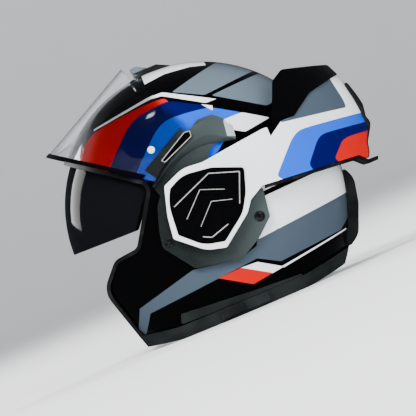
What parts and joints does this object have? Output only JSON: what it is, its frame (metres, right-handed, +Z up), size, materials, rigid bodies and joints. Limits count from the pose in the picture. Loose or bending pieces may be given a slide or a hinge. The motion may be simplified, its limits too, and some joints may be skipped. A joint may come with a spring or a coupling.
{
  "type": "motorcycle helmet",
  "caption": "Flip-back modular motorcycle helmet with its chin bar turned to the rear, clear visor raised and tinted sun visor lowered",
  "frame": {"origin": "middle of the surface the helmet stands on, under the middle of its length with the chin bar at the back", "axes": "+Z up, -Y to the front of the helmet, +X to the wearer's left, +Y along the length to the back"},
  "size_m": [0.2717, 0.3297, 0.2753],
  "materials": {
    "shell_paint": "clear-coated paint on a moulded shell, with coloured bands",
    "chin_paint": "clear-coated white paint with coloured bands",
    "edge_rubber": "matt black extruded rubber",
    "skirt_plastic": "fine-textured dark moulding",
    "foam": "expanded polystyrene beads, black",
    "liner_fabric": "quilted knitted fabric over soft foam",
    "plate_paint": "satin gunmetal paint",
    "screw_steel": "turned and zinc-plated steel",
    "vent_plastic": "satin black moulding",
    "vent_grey": "clear-coated grey moulding",
    "gloss_black": "polished black moulding",
    "clear_lens": "hard-coated clear polycarbonate",
    "dark_lens": "smoke-tinted polycarbonate",
    "visor_edge": "polished black bead",
    "pin_plastic": "clear turned plastic",
    "webbing": "woven polyester webbing",
    "tongue_plastic": "moulded toothed strap end",
    "red_button": "textured red moulding",
    "red_webbing": "woven red tape"
  },
  "bodies": {
    "helmet": {"outer_shell": "shell_paint", "face_opening_trim": "edge_rubber", "neck_skirt": "skirt_plastic", "foam_liner": "foam", "comfort_liner": "liner_fabric", "cheek_pad_left": "liner_fabric", "cheek_pad_right": "liner_fabric", "neck_roll": "liner_fabric", "hinge_plate_left": "plate_paint", "hinge_plate_right": "plate_paint", "plate_screws": "screw_steel", "pivot_pin_left": "screw_steel", "pivot_pin_right": "screw_steel", "sun_visor_clip_left": "screw_steel", "sun_visor_clip_right": "screw_steel", "crown_vent_base": "vent_plastic", "rear_extractor": "vent_plastic", "side_strip_left": "skirt_plastic", "side_strip_right": "skirt_plastic", "slider_track": "skirt_plastic", "strap_left": "webbing", "strap_right": "webbing", "strap_rivet_left": "screw_steel", "strap_rivet_right": "screw_steel", "ratchet_tongue": "tongue_plastic", "buckle_body": "screw_steel", "cheek_release_tab_left": "red_webbing", "cheek_release_tab_right": "red_webbing"},
    "chin_bar": {"chin_bar_shell": "chin_paint", "chin_bar_foam": "foam", "chin_bar_lip": "gloss_black", "chin_bar_seal": "edge_rubber", "chin_vent_cover": "vent_plastic", "pivot_cap_left": "gloss_black", "pivot_cap_right": "gloss_black"},
    "visor": {"visor_lens": "clear_lens", "visor_rim": "visor_edge", "visor_arm_left": "plate_paint", "visor_arm_right": "plate_paint", "insert_pins": "pin_plastic"},
    "sun_visor": {"sun_visor_lens": "dark_lens", "sun_visor_arm_left": "visor_edge", "sun_visor_arm_right": "visor_edge"},
    "sun_visor_slider": {"sun_visor_slider": "vent_plastic"},
    "crown_vent_slider": {"crown_vent_slider": "vent_grey"},
    "chin_vent_shutter": {"chin_vent_shutter": "vent_plastic"},
    "release_button": {"release_button": "red_button"},
    "buckle_lever": {"buckle_lever": "screw_steel"}
  },
  "joints": [
    {"name": "chin_bar_hinge", "type": "hinge", "parent": "helmet", "child": "chin_bar", "pos_m": [0, -0.0243, 0.116], "axis": [1, 0, 0], "range_deg": [0, 180]},
    {"name": "visor_hinge", "type": "hinge", "parent": "helmet", "child": "visor", "pos_m": [0, -0.0243, 0.116], "axis": [1, 0, 0], "range_deg": [0, 35]},
    {"name": "sun_visor_hinge", "type": "hinge", "parent": "helmet", "child": "sun_visor", "pos_m": [0, -0.0243, 0.116], "axis": [1, 0, 0], "range_deg": [-38, 0]},
    {"name": "sun_visor_slide", "type": "slide", "parent": "helmet", "child": "sun_visor_slider", "axis": [0, 1, 0], "range_m": [0, 0.022]},
    {"name": "crown_vent_slide", "type": "slide", "parent": "helmet", "child": "crown_vent_slider", "axis": [0, 1, 0], "range_m": [0, 0.007]},
    {"name": "chin_vent_slide", "type": "slide", "parent": "chin_bar", "child": "chin_vent_shutter", "axis": [0, 0, 1], "range_m": [0, 0.006]},
    {"name": "release_button_press", "type": "slide", "parent": "chin_bar", "child": "release_button", "axis": [0, 0, -1], "range_m": [0, 0.003], "stiffness_N_per_m": 600},
    {"name": "buckle_lever_hinge", "type": "hinge", "parent": "helmet", "child": "buckle_lever", "pos_m": [-0.0501, -0.0243, 0.043], "axis": [0, -1, 0], "range_deg": [0, 35], "stiffness_Nm_per_rad": 0.05}
  ],
  "couplings": [
    {"joint": "sun_visor_slide", "follows": "sun_visor_hinge", "m_per_rad": -0.0331}
  ]
}
